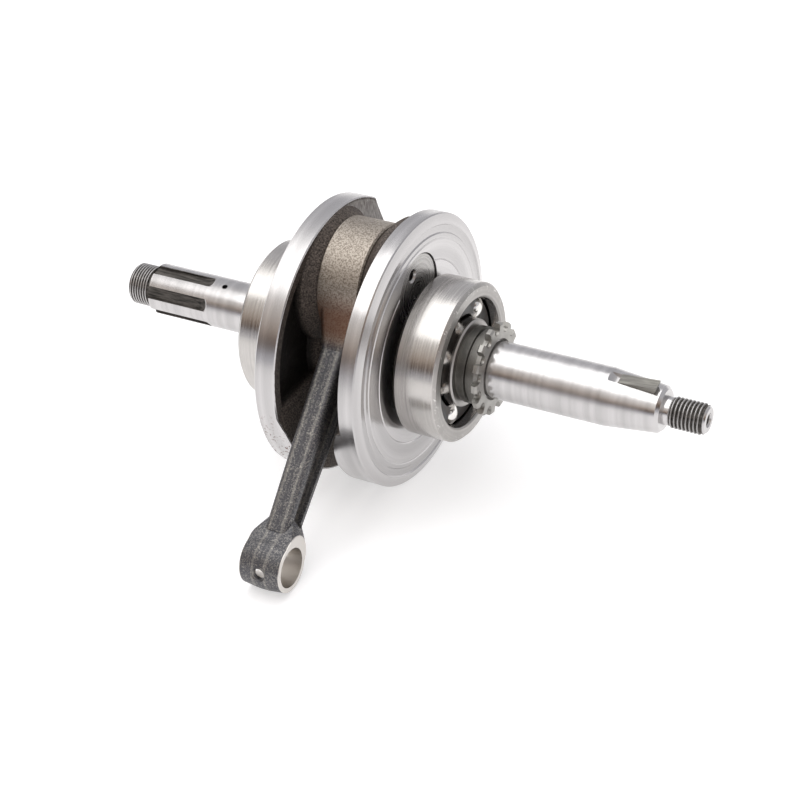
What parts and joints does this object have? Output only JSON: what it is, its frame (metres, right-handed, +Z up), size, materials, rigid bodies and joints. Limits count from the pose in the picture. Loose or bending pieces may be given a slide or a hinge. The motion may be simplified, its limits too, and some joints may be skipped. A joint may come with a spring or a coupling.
{
  "type": "crankshaft",
  "caption": "Pressed-up single-throw crankshaft with full disc webs, connecting rod, two main ball bearings, timing sprocket, splined end and keyed taper end.",
  "frame": {"origin": "centre of the main bearing on the timing side, on the crank axis", "axes": "+X along the crank axis towards the tapered flywheel end, +Z up with the crank pin straight above the axis, the rod leans towards -Y"},
  "size_m": [0.2065, 0.1265, 0.0901],
  "materials": {
    "crank_steel": "turned rims and ground shafts, rough forged inner faces",
    "pin_steel": "ground",
    "bearing_steel": "fine ground with satin side faces",
    "ball_steel": "polished",
    "sprocket_steel": "sintered, matt",
    "key_steel": "sawn, satin",
    "forged_steel": "as forged and shot blasted, machined end faces",
    "cage_steel": "stamped",
    "cage_polymer": "moulded"
  },
  "bodies": {
    "crank": {"left_crank_half": "crank_steel", "right_crank_half": "crank_steel", "crank_pin": "pin_steel", "timing_sprocket": "sprocket_steel", "flywheel_key": "key_steel", "left_bearing_inner_ring": "bearing_steel", "right_bearing_inner_ring": "bearing_steel"},
    "rod": {"connecting_rod": "forged_steel"},
    "big_end_bearing": {"big_end_cage": "cage_steel", "big_end_roller_1": "ball_steel", "big_end_roller_2": "ball_steel", "big_end_roller_3": "ball_steel", "big_end_roller_4": "ball_steel", "big_end_roller_5": "ball_steel", "big_end_roller_6": "ball_steel", "big_end_roller_7": "ball_steel", "big_end_roller_8": "ball_steel", "big_end_roller_9": "ball_steel", "big_end_roller_10": "ball_steel", "big_end_roller_11": "ball_steel", "big_end_roller_12": "ball_steel", "big_end_roller_13": "ball_steel", "big_end_roller_14": "ball_steel"},
    "left_outer": {"left_bearing_outer_ring": "bearing_steel"},
    "left_balls": {"left_bearing_cage": "cage_polymer", "left_bearing_ball_1": "ball_steel", "left_bearing_ball_2": "ball_steel", "left_bearing_ball_3": "ball_steel", "left_bearing_ball_4": "ball_steel", "left_bearing_ball_5": "ball_steel", "left_bearing_ball_6": "ball_steel", "left_bearing_ball_7": "ball_steel"},
    "right_outer": {"right_bearing_outer_ring": "bearing_steel"},
    "right_balls": {"right_bearing_cage": "cage_polymer", "right_bearing_ball_1": "ball_steel", "right_bearing_ball_2": "ball_steel", "right_bearing_ball_3": "ball_steel", "right_bearing_ball_4": "ball_steel", "right_bearing_ball_5": "ball_steel", "right_bearing_ball_6": "ball_steel", "right_bearing_ball_7": "ball_steel"}
  },
  "joints": [
    {"name": "rod_swing", "type": "hinge", "parent": "crank", "child": "rod", "pos_m": [-0.0281, 0, 0.0232], "axis": [1, 0, 0], "continuous": true},
    {"name": "big_end_cage_turn", "type": "hinge", "parent": "crank", "child": "big_end_bearing", "pos_m": [-0.0281, 0, 0.0232], "axis": [1, 0, 0], "continuous": true},
    {"name": "left_bearing_turn", "type": "hinge", "parent": "crank", "child": "left_outer", "pos_m": [-0.0562, 0, 0], "axis": [1, 0, 0], "continuous": true},
    {"name": "left_cage_turn", "type": "hinge", "parent": "crank", "child": "left_balls", "pos_m": [-0.0562, 0, 0], "axis": [1, 0, 0], "continuous": true},
    {"name": "right_bearing_turn", "type": "hinge", "parent": "crank", "child": "right_outer", "pos_m": [0, 0, 0], "axis": [1, 0, 0], "continuous": true},
    {"name": "right_cage_turn", "type": "hinge", "parent": "crank", "child": "right_balls", "pos_m": [0, 0, 0], "axis": [1, 0, 0], "continuous": true}
  ],
  "couplings": [
    {"joint": "big_end_cage_turn", "follows": "rod_swing", "ratio": 0.5536},
    {"joint": "left_cage_turn", "follows": "left_bearing_turn", "ratio": 0.6322},
    {"joint": "right_cage_turn", "follows": "right_bearing_turn", "ratio": 0.6322}
  ]
}
